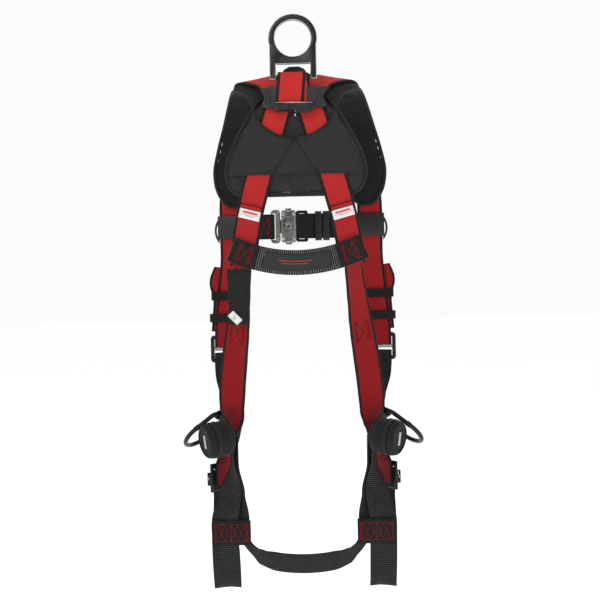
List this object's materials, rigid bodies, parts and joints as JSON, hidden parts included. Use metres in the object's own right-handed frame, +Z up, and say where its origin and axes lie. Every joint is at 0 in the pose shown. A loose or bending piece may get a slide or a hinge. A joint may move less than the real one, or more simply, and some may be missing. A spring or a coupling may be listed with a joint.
{
  "type": "full-body safety harness",
  "caption": "Full-body fall-arrest harness with dorsal D-ring, padded back and shoulders, chest buckle, hip rings and leg loops.",
  "frame": {"origin": "centre of the dorsal D-ring's eye, where the harness hangs", "axes": "+Z up along the wearer's spine, +X to the wearer's right, +Y from the wearer's back to the chest and along the eye's axis"},
  "size_m": [0.4098, 0.2633, 0.933],
  "materials": {
    "plated_steel": "dark nickel plate, bright worn edges",
    "black_plastic": "satin moulded plastic",
    "red_webbing": "red twill webbing with black selvedges",
    "pad_mesh": "black spacer mesh with bound edges",
    "cover_fabric": "smooth black coated fabric",
    "ribbed_webbing": "black ribbed webbing with grey highlights",
    "black_webbing": "black flat webbing",
    "black_label": "smooth printed label, left blank",
    "white_label": "white woven label, left blank",
    "elastic": "matte black elastic",
    "buckle_steel": "stamped zinc-plated steel",
    "spring_steel": "bright wire",
    "black_steel": "black coated forging"
  },
  "bodies": {
    "root": {"back_band": "ribbed_webbing", "back_band_label": "black_label", "back_pad": "pad_mesh", "back_pad_cover": "cover_fabric", "band_patches": "black_webbing", "dorsal_plate": "black_plastic", "dorsal_web": "red_webbing", "hip_ring_loop_L": "black_webbing", "hip_ring_loop_R": "black_webbing", "hip_strap_L": "red_webbing", "hip_strap_R": "red_webbing", "impact_labels": "white_label", "label_pouch": "cover_fabric", "label_tag": "white_label", "leg_buckle_frame_L": "black_steel", "leg_buckle_frame_R": "black_steel", "leg_patches": "black_webbing", "leg_strap_L": "ribbed_webbing", "leg_strap_R": "ribbed_webbing", "leg_tab_L": "red_webbing", "leg_tab_R": "red_webbing", "lower_torso_strap_L": "black_webbing", "lower_torso_strap_R": "black_webbing", "neck_pad": "pad_mesh", "rear_strap_L": "red_webbing", "rear_strap_R": "red_webbing", "relief_pouch_L": "cover_fabric", "relief_pouch_R": "cover_fabric", "relief_straps": "black_webbing", "shoulder_pad_L": "pad_mesh", "shoulder_pad_R": "pad_mesh", "shoulder_sleeves": "cover_fabric", "shoulder_strap_L": "red_webbing", "shoulder_strap_R": "red_webbing", "sub_pelvic_strap": "ribbed_webbing", "torso_adjuster_frame_L": "black_steel", "torso_adjuster_frame_R": "black_steel", "torso_keepers": "elastic", "torso_tail_L": "red_webbing", "torso_tail_R": "red_webbing"},
    "dorsal_ring": {"dorsal_d_ring": "plated_steel"},
    "chest": {"chest_slide_L": "black_plastic", "chest_slide_R": "black_plastic", "chest_strap_L": "black_webbing", "chest_strap_R": "black_webbing", "chest_receiver": "buckle_steel", "chest_receiver_cover": "buckle_steel", "chest_rivets": "buckle_steel", "chest_tab_springs": "spring_steel", "chest_frame": "black_steel", "chest_keepers": "black_plastic"},
    "tongue": {"chest_tongue": "buckle_steel"},
    "tab_top": {"chest_tab_top": "buckle_steel"},
    "tab_bottom": {"chest_tab_bottom": "buckle_steel"},
    "hip_ring_L": {"hip_d_ring_L": "black_steel"},
    "pouch_lid_L": {"relief_pouch_lid_L": "cover_fabric"},
    "torso_bar_L": {"torso_adjuster_bar_L": "buckle_steel"},
    "leg_bar_L": {"leg_buckle_bar_L": "buckle_steel"},
    "hip_ring_R": {"hip_d_ring_R": "black_steel"},
    "pouch_lid_R": {"relief_pouch_lid_R": "cover_fabric"},
    "torso_bar_R": {"torso_adjuster_bar_R": "buckle_steel"},
    "leg_bar_R": {"leg_buckle_bar_R": "buckle_steel"}
  },
  "joints": [
    {"name": "dorsal_ring_tilt", "type": "hinge", "parent": "root", "child": "dorsal_ring", "pos_m": [0, 0, -0.0615], "axis": [1, 0, 0], "range_deg": [-10, 100]},
    {"name": "chest_height", "type": "slide", "parent": "root", "child": "chest", "axis": [0, 0, 1], "range_m": [-0.025, 0.01]},
    {"name": "chest_tongue_pull", "type": "slide", "parent": "chest", "child": "tongue", "axis": [-1, 0, 0], "range_m": [0, 0.024], "deforming": ["chest_strap_L"]},
    {"name": "chest_tab_top_press", "type": "slide", "parent": "chest", "child": "tab_top", "axis": [0, 0, -1], "range_m": [0, 0.003], "stiffness_N_per_m": 400, "springref_m": -0.001},
    {"name": "chest_tab_bottom_press", "type": "slide", "parent": "chest", "child": "tab_bottom", "axis": [0, 0, 1], "range_m": [0, 0.003], "stiffness_N_per_m": 400, "springref_m": -0.001},
    {"name": "hip_ring_lift_L", "type": "hinge", "parent": "root", "child": "hip_ring_L", "pos_m": [-0.14, 0.13, -0.615], "axis": [0.2093, 0.9397, -0.2705], "range_deg": [0, 70]},
    {"name": "pouch_lid_open_L", "type": "hinge", "parent": "root", "child": "pouch_lid_L", "pos_m": [-0.14677, 0.06122, -0.67582], "axis": [0.4874, -0.8732, 0], "range_deg": [0, 110]},
    {"name": "torso_bar_release_L", "type": "slide", "parent": "root", "child": "torso_bar_L", "axis": [0, 0, 1], "range_m": [0, 0.005]},
    {"name": "leg_bar_release_L", "type": "slide", "parent": "root", "child": "leg_bar_L", "axis": [0, 0, 1], "range_m": [0, 0.005]},
    {"name": "hip_ring_lift_R", "type": "hinge", "parent": "root", "child": "hip_ring_R", "pos_m": [0.14, 0.13, -0.615], "axis": [0.2093, -0.9397, 0.2705], "range_deg": [0, 70]},
    {"name": "pouch_lid_open_R", "type": "hinge", "parent": "root", "child": "pouch_lid_R", "pos_m": [0.14677, 0.06122, -0.67582], "axis": [0.4874, 0.8732, 0], "range_deg": [0, 110]},
    {"name": "torso_bar_release_R", "type": "slide", "parent": "root", "child": "torso_bar_R", "axis": [0, 0, 1], "range_m": [0, 0.005]},
    {"name": "leg_bar_release_R", "type": "slide", "parent": "root", "child": "leg_bar_R", "axis": [0, 0, 1], "range_m": [0, 0.005]}
  ]
}
